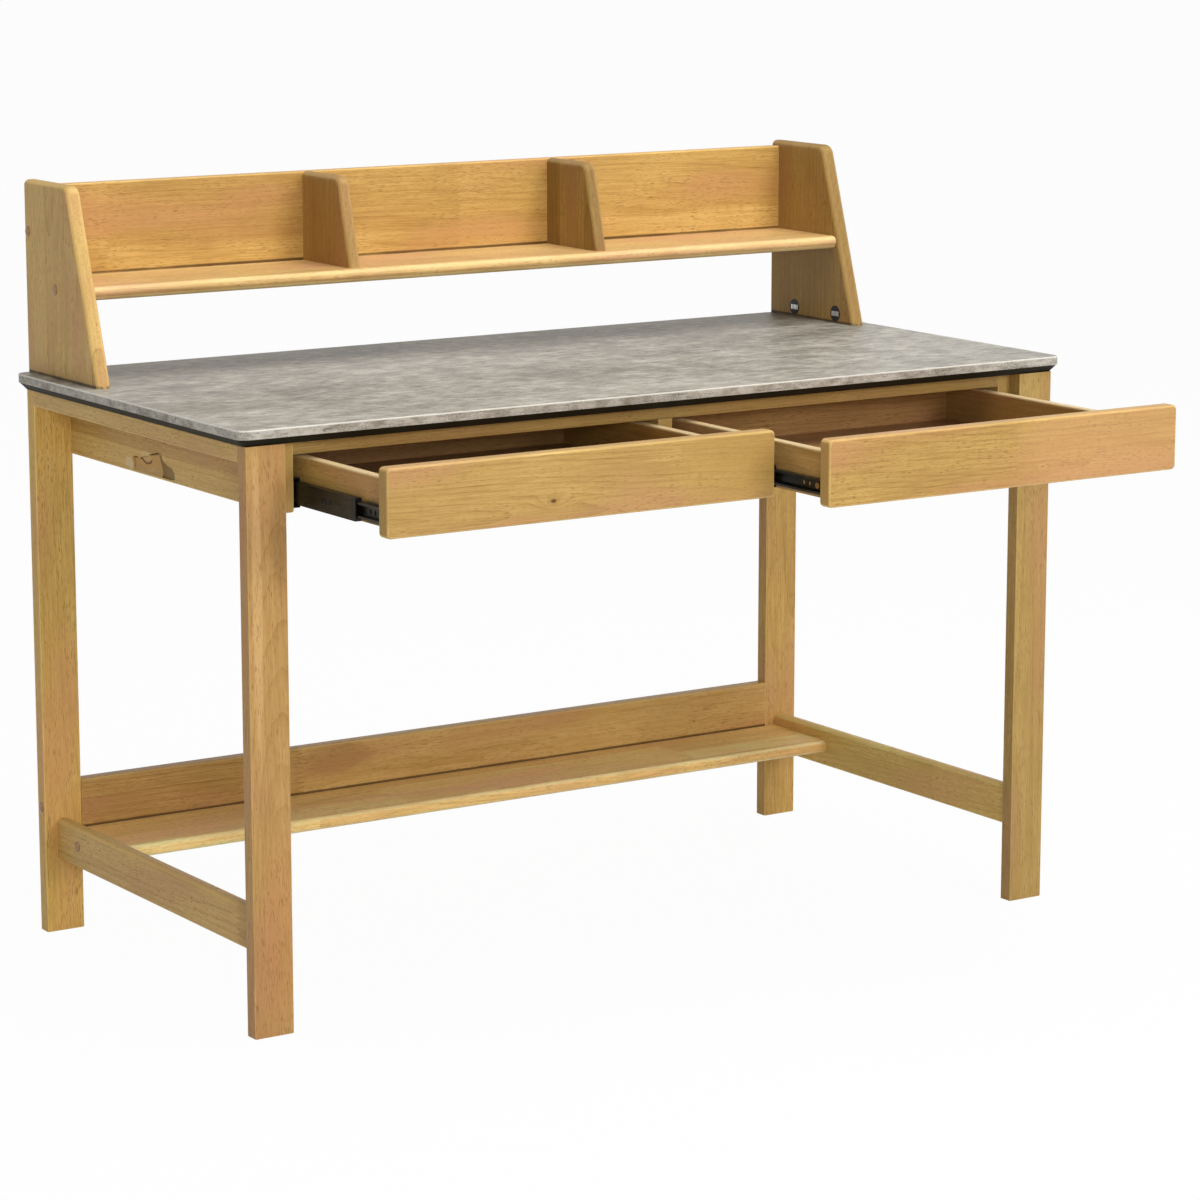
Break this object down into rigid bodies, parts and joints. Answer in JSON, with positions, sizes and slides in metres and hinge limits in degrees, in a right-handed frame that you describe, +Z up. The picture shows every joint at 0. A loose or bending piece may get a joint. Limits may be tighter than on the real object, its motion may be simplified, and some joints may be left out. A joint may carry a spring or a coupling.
{
  "type": "writing desk",
  "caption": "Wooden writing desk with a grey laminate top, pull-out drawers on ball-bearing slides, a low foot shelf and a small bookshelf with open bays along the back.",
  "frame": {"origin": "middle of the base of the whole desk as stored, standing on the floor with its drawers pulled out as in the picture; the middle of the legs' footprint lies 152 mm behind it, at Y = +0.152", "axes": "+X along the desk to the sitter's right, +Y from the sitter to the back of the desk, +Z up"},
  "size_m": [1.2, 0.9, 0.961],
  "materials": {
    "wood": "honey lacquered rubberwood, satin",
    "grey_laminate": "grey concrete-look laminate, matt",
    "black_board": "board core painted black on its bevel",
    "black_steel": "black coated sheet steel",
    "black_plastic": "moulded black plastic",
    "brown_board": "brown faced thin board",
    "zinc_steel": "zinc plated steel",
    "bronze_cover": "bronze brown cover, satin"
  },
  "bodies": {
    "desk_frame": {"bolt_covers": "bronze_cover", "bolts": "zinc_steel", "cam_housings": "black_plastic", "cam_pins": "zinc_steel", "cams": "zinc_steel", "case_slide_screws": "zinc_steel", "centre_divider": "wood", "desk_top_core": "black_board", "desk_top_laminate": "grey_laminate", "dowels": "wood", "front_left_leg": "wood", "front_rail": "wood", "front_right_leg": "wood", "hutch_back_board": "wood", "hutch_left_divider": "wood", "hutch_left_panel": "wood", "hutch_right_divider": "wood", "hutch_right_panel": "wood", "hutch_shelf": "wood", "left_case_side": "wood", "left_drawer_inner_slide_case_member": "black_steel", "left_drawer_outer_slide_case_member": "black_steel", "left_stretcher": "wood", "left_top_rail": "wood", "lower_back_board": "wood", "lower_shelf": "wood", "rear_left_leg": "wood", "rear_rail": "wood", "rear_right_leg": "wood", "right_case_side": "wood", "right_drawer_inner_slide_case_member": "black_steel", "right_drawer_outer_slide_case_member": "black_steel", "right_stretcher": "wood", "right_top_rail": "wood", "threaded_inserts": "zinc_steel", "top_screws": "zinc_steel"},
    "left_drawer": {"left_drawer_back": "wood", "left_drawer_bottom": "brown_board", "left_drawer_dowels": "wood", "left_drawer_front": "wood", "left_drawer_inner_side": "wood", "left_drawer_inner_slide_drawer_member": "black_steel", "left_drawer_outer_side": "wood", "left_drawer_outer_slide_drawer_member": "black_steel", "left_drawer_slide_screws": "zinc_steel"},
    "left_slide_middles": {"left_drawer_inner_slide_middle_member": "black_steel", "left_drawer_outer_slide_middle_member": "black_steel", "left_drawer_slide_bumpers": "black_plastic"},
    "right_drawer": {"right_drawer_back": "wood", "right_drawer_bottom": "brown_board", "right_drawer_dowels": "wood", "right_drawer_front": "wood", "right_drawer_inner_side": "wood", "right_drawer_inner_slide_drawer_member": "black_steel", "right_drawer_outer_side": "wood", "right_drawer_outer_slide_drawer_member": "black_steel", "right_drawer_slide_screws": "zinc_steel"},
    "right_slide_middles": {"right_drawer_inner_slide_middle_member": "black_steel", "right_drawer_outer_slide_middle_member": "black_steel", "right_drawer_slide_bumpers": "black_plastic"}
  },
  "joints": [
    {"name": "left_drawer_slide", "type": "slide", "parent": "desk_frame", "child": "left_drawer", "axis": [0, -1, 0], "range_m": [-0.214, 0.186]},
    {"name": "left_middle_member_slide", "type": "slide", "parent": "desk_frame", "child": "left_slide_middles", "axis": [0, -1, 0], "range_m": [-0.1392, 0.121]},
    {"name": "right_drawer_slide", "type": "slide", "parent": "desk_frame", "child": "right_drawer", "axis": [0, -1, 0], "range_m": [-0.314, 0.086]},
    {"name": "right_middle_member_slide", "type": "slide", "parent": "desk_frame", "child": "right_slide_middles", "axis": [0, -1, 0], "range_m": [-0.2042, 0.056]}
  ],
  "couplings": [
    {"joint": "left_middle_member_slide", "follows": "left_drawer_slide", "ratio": 0.65},
    {"joint": "right_middle_member_slide", "follows": "right_drawer_slide", "ratio": 0.65}
  ]
}
